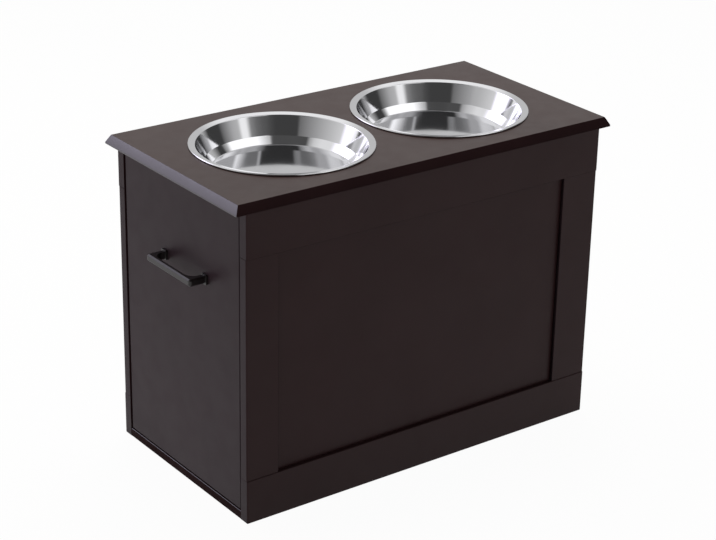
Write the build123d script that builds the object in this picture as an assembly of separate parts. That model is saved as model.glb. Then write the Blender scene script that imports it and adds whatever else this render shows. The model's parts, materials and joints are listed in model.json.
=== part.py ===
from build123d import *
from math import atan, degrees, sqrt
import os

# Raised dog feeder: a frame-and-panel cabinet with two drop-in bowls in its top and a
# deep storage drawer that pulls out of one end on roller runners.
# X runs along the cabinet and the drawer opens towards -X. -Y is the front long side.
# The origin is on the floor, in the middle of the cabinet. Sizes are in millimetres.

# Cabinet
cabinet_length = 568.0
cabinet_depth = 306.0
feeder_height = 438.0

# Tabletop
top_thickness = 13.0
top_end_overhang = 16.0
top_side_overhang = 3.0
bevel_run = 5.8
bevel_drop = 10.5
lip_round = 0.8

# Long sides: two rails and two stiles around a thin panel
rail_height = 61.0
rail_thickness = 15.0
rail_proud = 1.0
drawer_end_stile_width = 48.0
far_end_stile_width = 58.0
panel_thickness = 6.0
panel_recess = 5.0
groove_depth = 8.0
groove_fit = 0.1
panel_float = 1.0
arris_round = 1.0
corner_round = 1.8

# Base board and fixed end panel
base_thickness = 12.0
base_setback = 0.3
end_panel_thickness = 12.0
end_panel_setback = 3.0

# Drawer
drawer_front_thickness = 15.0
drawer_front_setback = 1.0
drawer_side_gap = 3.0
drawer_end_gap = 1.8
drawer_rear_gap = 37.0
drawer_side_height = 240.0
drawer_side_thickness = 12.0
drawer_rear_thickness = 12.0
drawer_bottom_thickness = 5.0
drawer_bottom_rise = 10.0
drawer_groove_depth = 5.0
drawer_overlap = 125.0

# Handle
handle_length = 104.0
handle_height = 10.0
handle_reach = 26.0
handle_bar = 5.5
handle_leg_width = 8.0
handle_foot_thickness = 3.0
handle_foot_margin = 1.8
handle_inner_round = 13.0
handle_outer_round = 3.5
handle_arris = 2.1
handle_offset = -10.0
handle_drop = 118.0

# Bowls
bowl_rim_radius = 121.3
bowl_mouth_radius = 110.8
bowl_depth = 38.0
bowl_bend_radius = 99.4
bowl_bend_depth = 25.2
bowl_bend_round = 3.0
bowl_floor_radius = 77.2
bowl_floor_round = 12.0
bowl_mouth_round = 2.5
bowl_bead_radius = 1.5
bowl_sheet = 0.8
bowl_spacing = 257.0
bowl_hole_clearance = 1.4
bowl_seat_gap = 0.1

# Drawer runners
runner_space = 12.5
runner_sheet = 1.2
runner_bend = 1.5
runner_front_gap = 2.0
runner_floor_height = 26.0
channel_height = 25.0
channel_mouth_gap = 1.5
channel_lip = 3.0
ledge_width = 12.5
ledge_height = 18.0
flange_reach = 7.7
flange_gap = 1.0
roller_radius = 11.0
roller_width = 6.5
roller_end_distance = 14.0
rolling_gap = 0.3
roller_edge_round = 0.8
roller_side_gap = 1.2
axle_radius = 2.5
axle_fit = 0.05
axle_head_radius = 4.0
axle_head_depth = 1.0
axle_head_gap = 0.4
stop_thickness = 2.0
stop_height = 7.0

# Cam fittings, dowels and screws
cam_radius = 7.5
cam_length = 9.0
cam_sink = 0.3
cam_reach = 24.0
cam_slot_width = 1.6
cam_slot_depth = 2.0
cam_neck_clearance = 3.7
bolt_thread_radius = 2.5
bolt_thread_length = 8.0
bolt_collar_radius = 3.6
bolt_collar_length = 1.2
bolt_neck_radius = 1.8
bolt_head_radius = 3.0
bolt_head_length = 2.5
bore_run_out = 0.5
dowel_radius = 3.0
frame_dowel_length = 30.0
frame_dowel_share = 0.25
top_dowel_length = 24.0
top_dowel_bite = 8.0
wood_fit = 0.02
screw_radius = 1.6
screw_length = 8.0
screw_head_radius = 3.4
screw_head_height = 1.6
pan_crown_share = 0.7
handle_screw_radius = 2.0
handle_screw_bite = 8.0
box_screw_radius = 2.5
box_screw_length = 38.0
box_screw_head_radius = 4.0

# Where the fixings sit, from the edges of the pieces that they join
top_fixing_inset = 84.0
base_fixing_inset = 94.0
end_fixing_inset = 46.0
drawer_fixing_inset = 50.0
end_dowel_inset = 48.0
runner_screw_inset = 70.0
runner_screw_drop = 7.5
dowel_shift = 45.0

# Worked out from the sizes above
half_length = cabinet_length / 2
rail_face = cabinet_depth / 2
inner_face = rail_face - rail_thickness
stile_face = rail_face - rail_proud
stile_middle_y = (inner_face + stile_face) / 2
rail_middle_y = (inner_face + rail_face) / 2
panel_face = stile_face - panel_recess
underside = feeder_height - top_thickness
top_rail_low = underside - rail_height
drawer_stile_edge = drawer_end_stile_width - half_length
far_stile_edge = half_length - far_end_stile_width
front_outer_x = drawer_front_setback - half_length
front_inner_x = front_outer_x + drawer_front_thickness
end_panel_outer_x = half_length - end_panel_setback
end_panel_inner_x = end_panel_outer_x - end_panel_thickness
end_panel_middle_x = (end_panel_outer_x + end_panel_inner_x) / 2
box_rear_x = end_panel_inner_x - drawer_rear_gap
box_length = box_rear_x - front_inner_x
drawer_travel = box_length - drawer_overlap
box_face = inner_face - runner_space
box_inner_face = box_face - drawer_side_thickness
box_low = ledge_height + runner_sheet
box_high = box_low + drawer_side_height
box_bottom_low = box_low + drawer_bottom_rise
runner_front_x = front_inner_x + runner_front_gap
runner_rear_x = runner_front_x + box_length
leg_face = box_face + runner_sheet
web_face = inner_face - runner_sheet
flange_top = runner_floor_height + channel_height - flange_gap
roller_middle_y = leg_face + roller_side_gap + roller_width / 2
back_roller_x = box_rear_x - roller_end_distance
back_roller_z = runner_floor_height + rolling_gap + roller_radius
front_roller_x = runner_front_x + roller_end_distance
front_roller_z = flange_top - runner_sheet - rolling_gap - roller_radius
bowl_top = feeder_height + bowl_seat_gap + 2 * bowl_bead_radius
bowl_hole_radius = bowl_mouth_radius + bowl_sheet + bowl_hole_clearance
bowl_x = bowl_spacing / 2
handle_centre_z = underside - handle_drop
top_fixing_x = half_length - top_fixing_inset
base_fixing_x = half_length - base_fixing_inset
end_fixing_heights = (rail_height + end_fixing_inset, top_rail_low - end_fixing_inset)
drawer_fixing_heights = (box_low + drawer_fixing_inset, box_high - drawer_fixing_inset)
end_dowel_y = inner_face - end_dowel_inset
runner_screw_x = box_length / 2 - runner_screw_inset

# Directions, as seen from a piece of the back long side
UP = (0, 0, 1)
DOWN = (0, 0, -1)
INWARD = (0, -1, 0)
OUTWARD = (0, 1, 0)
TO_DRAWER_END = (-1, 0, 0)
TO_FAR_END = (1, 0, 0)


def block(x_low, x_high, y_low, y_high, z_low, z_high):
    """A board between two corners."""
    middle = Pos((x_low + x_high) / 2, (y_low + y_high) / 2, (z_low + z_high) / 2)
    return middle * Box(x_high - x_low, y_high - y_low, z_high - z_low)


def rod(start, direction, radius, length):
    """A round rod or drill, from start along direction."""
    return Plane(origin=start, z_dir=direction).location * Cylinder(
        radius, length, align=(Align.CENTER, Align.CENTER, Align.MIN)
    )


def turned(outline, start, direction):
    """A turned piece: half outline in (radius, height), stood on start along direction."""
    spun = revolve(Plane.XZ * make_face(Polyline(*outline, close=True)), Axis.Z)
    return Plane(origin=start, z_dir=direction).location * spun


def mirrored(shape):
    """The same piece on the other long side."""
    return mirror(shape, about=Plane.XZ)


def both_sides(shapes):
    return shapes + [mirrored(shape) for shape in shapes]


def drilled(shape, drills):
    for drill in drills:
        shape -= drill
    return shape


# ---- Cam fittings, dowels and screws -------------------------------------------------


def along(start, direction, distance):
    return tuple(Vector(*start) + Vector(*direction) * distance)


def opposite(direction):
    return tuple(-part for part in direction)


def cam_bolt(seat, direction):
    """Steel bolt screwed into one board, its head held by the cam in the other."""
    head_high = cam_reach + bolt_head_length / 2
    head_low = cam_reach - bolt_head_length / 2
    outline = [
        (0, -bolt_thread_length),
        (bolt_thread_radius, -bolt_thread_length),
        (bolt_thread_radius, 0),
        (bolt_collar_radius, 0),
        (bolt_collar_radius, bolt_collar_length),
        (bolt_neck_radius, bolt_collar_length),
        (bolt_neck_radius, head_low),
        (bolt_head_radius, head_low),
        (bolt_head_radius, head_high),
        (0, head_high),
    ]
    return turned(outline, seat, direction)


def cam_bolt_pilot(seat, direction):
    """Hole for the bolt's thread, in the board that it is screwed into."""
    return rod(seat, opposite(direction), bolt_thread_radius + wood_fit,
               bolt_thread_length + bore_run_out)


def cam_bolt_bore(seat, direction):
    """Hole for the bolt's neck and head, from the joint to just past the cam's middle."""
    return rod(seat, direction, cam_neck_clearance + wood_fit, cam_reach + bolt_head_length)


def cam_pocket(seat, direction, face_out, cover):
    """Round pocket for the cam; cover is the wood between the bolt's axis and the open face."""
    middle = along(seat, direction, cam_reach)
    return rod(along(middle, face_out, cover), opposite(face_out), cam_radius + wood_fit,
               cam_length + cam_sink)


def cam_lock(seat, direction, face_out, cover):
    """Round cam with a driver slot and a throat for the bolt's head."""
    middle = along(seat, direction, cam_reach)
    outer = along(middle, face_out, cover - cam_sink)
    body = rod(outer, opposite(face_out), cam_radius, cam_length)
    throat_start = along(middle, direction, cam_neck_clearance)
    throat = rod(throat_start, opposite(direction), cam_neck_clearance, cam_radius * 2)
    slot = Plane(origin=outer, z_dir=face_out, x_dir=direction).location * Box(
        cam_radius, cam_slot_width, 2 * cam_slot_depth
    )
    return body - throat - slot


def dowel(start, direction, length):
    return rod(start, direction, dowel_radius, length)


def dowel_hole(start, direction, length):
    """Hole a little deeper than the dowel, at both its ends."""
    return rod(along(start, direction, -bore_run_out), direction, dowel_radius + wood_fit,
               length + 2 * bore_run_out)


def pan_screw(start, direction, radius, length, head_radius, head_height):
    """Screw whose head's seat is at start and whose shank runs along direction."""
    outline = [
        (0, -head_height),
        (head_radius * pan_crown_share, -head_height),
        (head_radius, -head_height / 2),
        (head_radius, 0),
        (radius, 0),
        (radius, length),
        (0, length + radius),
    ]
    return turned(outline, start, direction)


def sunk_screw(start, direction, radius, length, head_radius):
    """Countersunk screw whose head is flush at start."""
    outline = [(0, 0), (head_radius, 0), (radius, head_radius - radius), (radius, length),
               (0, length + radius)]
    return turned(outline, start, direction)


def sunk_screw_hole(start, direction, radius, length, head_radius):
    outline = [
        (0, 0),
        (head_radius + wood_fit, 0),
        (radius + wood_fit, head_radius - radius),
        (radius + wood_fit, length + radius + bore_run_out),
        (0, length + radius + bore_run_out),
    ]
    return turned(outline, start, direction)


# ---- Where each fitting goes, for the back long side ---------------------------------


def top_cams():
    """Bolt seats on the underside of the top, above the back top rail."""
    return [(x, rail_middle_y, underside) for x in (-top_fixing_x, 0, top_fixing_x)]


def base_cams():
    """Bolt seats on the back bottom rail's inner face, level with the base board."""
    return [(x, inner_face, base_thickness / 2) for x in (-base_fixing_x, base_fixing_x)]


def end_cams():
    """Bolt seats on the far back stile's inner face, in line with the end panel."""
    return [(end_panel_middle_x, inner_face, z) for z in end_fixing_heights]


def drawer_cams():
    """Bolt seats on the back face of the drawer front, in line with the back box side."""
    middle_y = (box_face + box_inner_face) / 2
    return [(front_inner_x, middle_y, z) for z in drawer_fixing_heights]


def top_dowels():
    low = underside + top_dowel_bite - top_dowel_length
    return [(x + dowel_shift, rail_middle_y, low) for x in (-top_fixing_x, top_fixing_x)]


def base_dowels():
    start_y = inner_face + top_dowel_bite
    return [(x + dowel_shift, start_y, base_thickness / 2)
            for x in (-base_fixing_x, base_fixing_x)]


def end_dowels():
    low = underside + top_dowel_bite - top_dowel_length
    return [(end_panel_middle_x, y, low) for y in (-end_dowel_y, end_dowel_y)]


def frame_dowels():
    """Two dowels at each of the four joints of a long side."""
    spots = []
    for middle, width in (
        (drawer_stile_edge - drawer_end_stile_width / 2, drawer_end_stile_width),
        (far_stile_edge + far_end_stile_width / 2, far_end_stile_width),
    ):
        for x in (middle - width * frame_dowel_share, middle + width * frame_dowel_share):
            for joint in (rail_height, top_rail_low):
                spots.append((x, stile_middle_y, joint - frame_dowel_length / 2))
    return spots


# ---- Cabinet -------------------------------------------------------------------------


def tabletop():
    """Bevelled board with two round holes that the bowls hang in."""
    outline = Rectangle(cabinet_length + 2 * top_end_overhang, cabinet_depth + 2 * top_side_overhang)
    lip = top_thickness - bevel_drop
    edge = extrude(Pos(0, 0, underside) * outline, lip)
    edge = fillet(edge.edges().group_by(Axis.Z)[0], lip_round)
    crown = extrude(Pos(0, 0, underside + lip) * outline, bevel_drop,
                    taper=degrees(atan(bevel_run / bevel_drop)))
    board = edge + crown
    holes = [rod((x, 0, underside - bore_run_out), UP, bowl_hole_radius,
                 top_thickness + 2 * bore_run_out) for x in (-bowl_x, bowl_x)]
    pilots = both_sides([cam_bolt_pilot(seat, DOWN) for seat in top_cams()])
    pegs = both_sides([dowel_hole(spot, UP, top_dowel_length) for spot in top_dowels()])
    end_pegs = [dowel_hole(spot, UP, top_dowel_length) for spot in end_dowels()]
    return drilled(board, holes + pilots + pegs + end_pegs)


def groove(x_low, x_high, z_low, z_high):
    """Slot in the frame for the panel's edge."""
    return block(x_low, x_high, panel_face - panel_thickness - groove_fit, panel_face + groove_fit,
                 z_low, z_high)


def rounded_rail(z_low):
    rail = block(-half_length, half_length, inner_face, rail_face, z_low, z_low + rail_height)
    upright = rail.edges().filter_by(Axis.Z).group_by(Axis.Y)[-1]
    rail = fillet(upright, corner_round)
    return fillet(rail.edges().filter_by(Axis.X).group_by(Axis.Y)[-1], arris_round)


def peg_holes():
    return [dowel_hole(spot, UP, frame_dowel_length) for spot in frame_dowels()]


def top_rail():
    rail = rounded_rail(top_rail_low)
    slot = groove(drawer_stile_edge - groove_depth, far_stile_edge + groove_depth,
                  top_rail_low, top_rail_low + groove_depth)
    fittings = [slot]
    for seat in top_cams():
        fittings += [cam_bolt_bore(seat, DOWN), cam_pocket(seat, DOWN, INWARD, rail_thickness / 2)]
    fittings += [dowel_hole(spot, UP, top_dowel_length) for spot in top_dowels()]
    return drilled(rail, fittings + peg_holes())


def bottom_rail():
    rail = rounded_rail(0)
    slot = groove(drawer_stile_edge - groove_depth, far_stile_edge + groove_depth,
                  rail_height - groove_depth, rail_height)
    fittings = [slot]
    fittings += [cam_bolt_pilot(seat, INWARD) for seat in base_cams()]
    fittings += [dowel_hole(spot, INWARD, top_dowel_length) for spot in base_dowels()]
    fittings += [runner_screw_hole(spot) for spot in cabinet_runner_screws()]
    return drilled(rail, fittings + peg_holes())


def stile(x_low, x_high, outer_x, groove_low, groove_high):
    post = block(x_low, x_high, inner_face, stile_face, rail_height, top_rail_low)
    corner = post.edges().filter_by(Axis.Z).group_by(Axis.Y)[-1].sort_by_distance((outer_x, 0, 0))[0]
    post = fillet(corner, corner_round)
    slot = groove(groove_low, groove_high, rail_height, top_rail_low)
    return drilled(post, [slot] + peg_holes())


def drawer_end_stile():
    return stile(-half_length, drawer_stile_edge, -half_length,
                 drawer_stile_edge - groove_depth, drawer_stile_edge)


def far_end_stile():
    post = stile(far_stile_edge, half_length, half_length, far_stile_edge,
                 far_stile_edge + groove_depth)
    return drilled(post, [cam_bolt_pilot(seat, INWARD) for seat in end_cams()])


def side_panel():
    """Thin panel that floats in the grooves of its frame."""
    reach = groove_depth - panel_float
    return block(drawer_stile_edge - reach, far_stile_edge + reach, panel_face - panel_thickness,
                 panel_face, rail_height - reach, top_rail_low + reach)


def base_board():
    board = block(base_setback - half_length, end_panel_outer_x, -inner_face, inner_face,
                  0, base_thickness)
    near_edge = board.edges().filter_by(Axis.Y).group_by(Axis.X)[0]
    board = fillet(near_edge, arris_round)
    fittings = []
    for seat in base_cams():
        fittings += [cam_bolt_bore(seat, INWARD),
                     cam_pocket(seat, INWARD, DOWN, base_thickness / 2)]
    fittings += [dowel_hole(spot, INWARD, top_dowel_length) for spot in base_dowels()]
    return drilled(board, both_sides(fittings))


def end_panel():
    """Plain fixed board that closes the end away from the drawer."""
    board = block(end_panel_inner_x, end_panel_outer_x, -inner_face, inner_face,
                  base_thickness, underside)
    fittings = []
    for seat in end_cams():
        fittings += [cam_bolt_bore(seat, INWARD),
                     cam_pocket(seat, INWARD, TO_DRAWER_END, end_panel_thickness / 2)]
    pegs = [dowel_hole(spot, UP, top_dowel_length) for spot in end_dowels()]
    return drilled(board, both_sides(fittings) + pegs)


# ---- Bowls ---------------------------------------------------------------------------


def bowl():
    """Pressed sheet bowl: flat floor, sloping band, steep wall, flat rim and rolled bead."""
    bead_x = bowl_rim_radius - bowl_bead_radius
    inside = FilletPolyline(
        (0, -bowl_depth), (bowl_floor_radius, -bowl_depth), (bowl_bend_radius, -bowl_bend_depth),
        (bowl_mouth_radius, 0), (bead_x, 0),
        radius=[bowl_floor_round, bowl_bend_round, bowl_mouth_round],
    )
    bead = CenterArc((bead_x, -bowl_bead_radius), bowl_bead_radius, 90, -180)
    sheet = offset(Wire(inside.edges() + bead.edges()), amount=bowl_sheet, side=Side.RIGHT)
    spun = revolve(Plane.XZ * make_face(sheet.edges()), Axis.Z)
    return Pos(0, 0, bowl_top) * spun


# ---- Drawer --------------------------------------------------------------------------


def bottom_slot(x_low, x_high, y_reach):
    """Room for the drawer's bottom board, cut into the boards around it."""
    return block(x_low, x_high, -y_reach, y_reach, box_bottom_low - groove_fit,
                 box_bottom_low + drawer_bottom_thickness + groove_fit)


def drawer_front():
    reach = inner_face - drawer_side_gap
    board = block(front_outer_x, front_inner_x, -reach, reach,
                  base_thickness + drawer_end_gap, underside - drawer_end_gap)
    board = fillet(board.edges().group_by(Axis.X)[0], arris_round)
    slot_reach = box_inner_face + drawer_groove_depth
    slot = bottom_slot(front_inner_x - drawer_groove_depth, front_inner_x, slot_reach)
    pilots = both_sides([cam_bolt_pilot(seat, TO_FAR_END) for seat in drawer_cams()])
    pegs = both_sides([dowel_hole(spot, TO_FAR_END, top_dowel_length) for spot in drawer_dowels()])
    screws = [rod((front_outer_x - bore_run_out, y, handle_centre_z), TO_FAR_END,
                  handle_screw_radius + wood_fit, drawer_front_thickness + 2 * bore_run_out)
              for y in handle_screw_places()]
    return drilled(board, [slot] + pilots + pegs + screws)


def drawer_side():
    board = block(front_inner_x, box_rear_x, box_inner_face, box_face, box_low, box_high)
    long_edges = board.edges().filter_by(Axis.X)
    rounded = long_edges.group_by(Axis.Z)[-1] + long_edges.group_by(Axis.Z)[0].sort_by(Axis.Y)[-1:]
    board = fillet(rounded, arris_round)
    slot = block(front_inner_x, box_rear_x, box_inner_face, box_inner_face + drawer_groove_depth,
                 box_bottom_low - groove_fit, box_bottom_low + drawer_bottom_thickness + groove_fit)
    fittings = [slot]
    for seat in drawer_cams():
        fittings += [cam_bolt_bore(seat, TO_FAR_END),
                     cam_pocket(seat, TO_FAR_END, INWARD, drawer_side_thickness / 2)]
    fittings += [dowel_hole(spot, TO_FAR_END, top_dowel_length) for spot in drawer_dowels()]
    fittings += [rear_screw_hole(spot) for spot in rear_screws()]
    fittings += [drawer_runner_screw_hole(spot) for spot in drawer_runner_screws()]
    return drilled(board, fittings)


def drawer_rear():
    board = block(box_rear_x - drawer_rear_thickness, box_rear_x, -box_inner_face, box_inner_face,
                  box_low, box_high)
    board = fillet(board.edges().filter_by(Axis.Y).group_by(Axis.Z)[-1], arris_round)
    slot = bottom_slot(box_rear_x - drawer_rear_thickness,
                       box_rear_x - drawer_rear_thickness + drawer_groove_depth, box_inner_face)
    return drilled(board, [slot] + both_sides([rear_screw_hole(spot) for spot in rear_screws()]))


def drawer_bottom():
    reach = drawer_groove_depth - groove_fit
    return block(front_inner_x - reach, box_rear_x - drawer_rear_thickness + reach,
                 -box_inner_face - reach, box_inner_face + reach, box_bottom_low,
                 box_bottom_low + drawer_bottom_thickness)


def drawer_dowels():
    """One dowel from each box side into the drawer front."""
    start_x = front_inner_x - top_dowel_bite
    return [(start_x, (box_face + box_inner_face) / 2, (box_low + box_high) / 2)]


def rear_screws():
    middle_x = box_rear_x - drawer_rear_thickness / 2
    return [(middle_x, box_face, z) for z in drawer_fixing_heights]


def rear_screw_hole(spot):
    return sunk_screw_hole(spot, INWARD, box_screw_radius, box_screw_length, box_screw_head_radius)


def handle_screw_places():
    half = (handle_length - handle_leg_width) / 2
    return [handle_offset - half, handle_offset + half]


def handle():
    """Cast bow pull: a flat bar on two legs, with wide inner curves and small feet."""
    half = handle_length / 2
    leg_inner = half - handle_leg_width
    bar_inner = handle_reach - handle_bar
    outside = fillet(
        make_face(Polyline((-half, 0), (half, 0), (half, handle_reach), (-half, handle_reach),
                           close=True)).vertices().group_by(Axis.Y)[-1],
        handle_outer_round,
    )
    inside = fillet(
        make_face(Polyline((-leg_inner, 0), (leg_inner, 0), (leg_inner, bar_inner),
                           (-leg_inner, bar_inner), close=True)).vertices().group_by(Axis.Y)[-1],
        handle_inner_round,
    )
    bow = extrude(outside - inside, handle_height / 2, both=True)
    arrises = bow.edges().filter_by(Plane.XY).group_by(Axis.Y)[-1]
    bow = chamfer(arrises, handle_arris)
    foot_width = handle_leg_width + 2 * handle_foot_margin
    foot_height = handle_height + 2 * handle_foot_margin
    foot = extrude(Plane.XZ * RectangleRounded(foot_width, foot_height, handle_foot_margin),
                   -handle_foot_thickness)
    for y in (-1, 1):
        bow += Pos(y * (half - handle_leg_width / 2), 0, 0) * foot
    for y in (-1, 1):
        bow -= rod((y * (half - handle_leg_width / 2), 0, 0), OUTWARD,
                   handle_screw_radius, handle_screw_bite + handle_screw_radius + bore_run_out)
    return Pos(front_outer_x, handle_offset, handle_centre_z) * Rot(0, 0, 90) * bow


def handle_screws():
    return [pan_screw((front_inner_x, y, handle_centre_z), TO_DRAWER_END,
                      handle_screw_radius - wood_fit, drawer_front_thickness + handle_screw_bite,
                      screw_head_radius, screw_head_height) for y in handle_screw_places()]


# ---- Runners -------------------------------------------------------------------------


def folded_strip(points, x_low, x_high):
    """Sheet steel folded along points in (y, z), from x_low to x_high."""
    path = FilletPolyline(*points, radius=runner_bend)
    section = make_face(offset(Wire(path.edges()), amount=runner_sheet, side=Side.LEFT).edges())
    return extrude(Plane.YZ.offset(x_low) * section, x_high - x_low)


def channel_mouth():
    return leg_face + channel_mouth_gap


def cabinet_runner():
    """Open channel on the cabinet: floor, web and roof, with stops for the drawer's roller."""
    low = runner_floor_height - runner_sheet
    high = runner_floor_height + channel_height + runner_sheet
    mouth = channel_mouth()
    channel = folded_strip([(mouth, high), (inner_face, high), (inner_face, low), (mouth, low),
                            (mouth, low - channel_lip)][::-1], runner_front_x, runner_rear_x)
    stop_reach = sqrt(stop_height * (2 * roller_radius - stop_height)) + rolling_gap
    rear_stop_x = back_roller_x + stop_reach
    open_stop_x = back_roller_x - drawer_travel - stop_reach - stop_thickness
    for x in (rear_stop_x, open_stop_x):
        channel += block(x, x + stop_thickness, mouth, web_face, low, runner_floor_height + stop_height)
    holes = [rod((x, inner_face + bore_run_out, z), INWARD, screw_radius + wood_fit,
                 runner_sheet + 2 * bore_run_out) for x, y, z in cabinet_runner_screws()]
    axle_hole = rod((front_roller_x, inner_face + bore_run_out, front_roller_z), INWARD,
                    axle_radius, runner_sheet + 2 * bore_run_out)
    return drilled(channel, holes + [axle_hole])


def drawer_runner():
    """Angle under and beside the box, with a flange that rides on the cabinet's roller."""
    points = [(box_face - ledge_width, ledge_height), (leg_face, ledge_height),
              (leg_face, flange_top - runner_sheet), (leg_face + flange_reach, flange_top - runner_sheet)]
    angle = folded_strip(points, front_inner_x, box_rear_x)
    holes = [rod((x, y, z - bore_run_out), UP, screw_radius + wood_fit,
                 runner_sheet + 2 * bore_run_out) for x, y, z in drawer_runner_screws()]
    axle_hole = rod((back_roller_x, box_face - bore_run_out, back_roller_z), OUTWARD,
                    axle_radius, runner_sheet + 2 * bore_run_out)
    return drilled(angle, holes + [axle_hole])


def cabinet_runner_screws():
    """Seats of the screws that hold the channel to the bottom rail."""
    z = runner_floor_height + channel_height - runner_screw_drop
    middle = (runner_front_x + runner_rear_x) / 2
    return [(middle + x, web_face, z) for x in (-runner_screw_x, 0, runner_screw_x)]


def runner_screw_hole(spot):
    return rod(spot, OUTWARD, screw_radius + wood_fit, screw_length + screw_radius + bore_run_out)


def drawer_runner_screws():
    """Seats of the screws that hold the angle to the box side from below."""
    middle = (front_inner_x + box_rear_x) / 2
    y = (box_face + box_inner_face) / 2
    return [(middle + x, y, ledge_height) for x in (-runner_screw_x, 0, runner_screw_x)]


def drawer_runner_screw_hole(spot):
    return rod(spot, UP, screw_radius + wood_fit, screw_length + screw_radius + bore_run_out)


def roller(x, z, free_side):
    """Moulded wheel, with a sunk ring on the side where its axle is headed over."""
    half = roller_width / 2
    bore = axle_radius + axle_fit
    ring_depth = axle_head_depth + axle_head_gap
    ring = axle_head_radius + axle_head_gap
    outline = [(bore, -half), (roller_radius, -half), (roller_radius, half), (ring, half),
               (ring, half - ring_depth), (bore, half - ring_depth)]
    face = make_face(Polyline(*outline, close=True))
    face = fillet(face.vertices().group_by(Axis.X)[-1], roller_edge_round)
    wheel = revolve(Plane.XZ * face, Axis.Z)
    return Plane(origin=(x, roller_middle_y, z), z_dir=free_side).location * wheel


def axle(x, z, root_y, free_side):
    """Rivet that a roller turns on: shoulder, journal and head."""
    sign = free_side[1]
    shoulder = sign * (roller_middle_y - root_y) - roller_width / 2 - axle_head_gap / 2
    ring_floor = sign * (roller_middle_y - root_y) + roller_width / 2 - axle_head_depth - axle_head_gap
    head_low = ring_floor + axle_head_gap / 2
    outline = [
        (0, -runner_sheet), (axle_radius, -runner_sheet), (axle_radius, 0),
        (axle_head_radius, 0), (axle_head_radius, shoulder), (axle_radius, shoulder),
        (axle_radius, head_low), (axle_head_radius, head_low),
        (axle_head_radius, head_low + axle_head_depth), (0, head_low + axle_head_depth),
    ]
    return turned(outline, (x, root_y, z), free_side)


# ---- All nodes -----------------------------------------------------------------------


def side_nodes():
    """Pieces that both long sides have, made for the back and mirrored for the front."""
    return {
        "top_rail": top_rail(),
        "bottom_rail": bottom_rail(),
        "drawer_end_stile": drawer_end_stile(),
        "far_end_stile": far_end_stile(),
        "side_panel": side_panel(),
        "cabinet_runner": cabinet_runner(),
        "drawer_runner": drawer_runner(),
        "cabinet_roller": roller(front_roller_x, front_roller_z, INWARD),
        "drawer_roller": roller(back_roller_x, back_roller_z, OUTWARD),
        "drawer_side": drawer_side(),
    }


def single_nodes():
    return {
        "tabletop": tabletop(),
        "base_board": base_board(),
        "end_panel": end_panel(),
        "drawer_front": drawer_front(),
        "drawer_rear": drawer_rear(),
        "drawer_bottom": drawer_bottom(),
        "drawer_handle": handle(),
        "left_bowl": Pos(-bowl_x, 0, 0) * bowl(),
        "right_bowl": Pos(bowl_x, 0, 0) * bowl(),
    }


def fitting_nodes():
    """Identical fittings, grouped by the joint that they hold."""
    half_base = base_thickness / 2
    half_side = drawer_side_thickness / 2
    return {
        "top_cam_bolts": both_sides([cam_bolt(seat, DOWN) for seat in top_cams()]),
        "top_cam_locks": both_sides([cam_lock(seat, DOWN, INWARD, rail_thickness / 2)
                                     for seat in top_cams()]),
        "base_cam_bolts": both_sides([cam_bolt(seat, INWARD) for seat in base_cams()]),
        "base_cam_locks": both_sides([cam_lock(seat, INWARD, DOWN, half_base)
                                      for seat in base_cams()]),
        "end_cam_bolts": both_sides([cam_bolt(seat, INWARD) for seat in end_cams()]),
        "end_cam_locks": both_sides([cam_lock(seat, INWARD, TO_DRAWER_END, end_panel_thickness / 2)
                                     for seat in end_cams()]),
        "drawer_cam_bolts": both_sides([cam_bolt(seat, TO_FAR_END) for seat in drawer_cams()]),
        "drawer_cam_locks": both_sides([cam_lock(seat, TO_FAR_END, INWARD, half_side)
                                        for seat in drawer_cams()]),
        "front_frame_dowels": [mirrored(dowel(spot, UP, frame_dowel_length))
                               for spot in frame_dowels()],
        "back_frame_dowels": [dowel(spot, UP, frame_dowel_length) for spot in frame_dowels()],
        "top_dowels": both_sides([dowel(spot, UP, top_dowel_length) for spot in top_dowels()])
        + [dowel(spot, UP, top_dowel_length) for spot in end_dowels()],
        "base_dowels": both_sides([dowel(spot, INWARD, top_dowel_length) for spot in base_dowels()]),
        "drawer_dowels": both_sides([dowel(spot, TO_FAR_END, top_dowel_length)
                                     for spot in drawer_dowels()]),
        "drawer_rear_screws": both_sides([sunk_screw(spot, INWARD, box_screw_radius,
                                                     box_screw_length, box_screw_head_radius)
                                          for spot in rear_screws()]),
        "handle_screws": handle_screws(),
        "cabinet_runner_screws": both_sides([
            pan_screw(spot, OUTWARD, screw_radius, screw_length, screw_head_radius, screw_head_height)
            for spot in cabinet_runner_screws()]),
        "drawer_runner_screws": both_sides([
            pan_screw(spot, UP, screw_radius, screw_length, screw_head_radius, screw_head_height)
            for spot in drawer_runner_screws()]),
        "cabinet_roller_axles": both_sides([axle(front_roller_x, front_roller_z, web_face, INWARD)]),
        "drawer_roller_axles": both_sides([axle(back_roller_x, back_roller_z, leg_face, OUTWARD)]),
    }


nodes = single_nodes()
for name, shape in side_nodes().items():
    nodes["back_" + name] = shape
    nodes["front_" + name] = mirrored(shape)
for name, group in fitting_nodes().items():
    nodes[name] = Compound(children=[Compound(piece.wrapped) for piece in group])

os.makedirs("parts", exist_ok=True)
for name, shape in nodes.items():
    export_step(shape, f"parts/{name}.step")
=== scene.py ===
import json
import math

import bmesh
import bpy
from mathutils import Matrix, Vector


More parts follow.
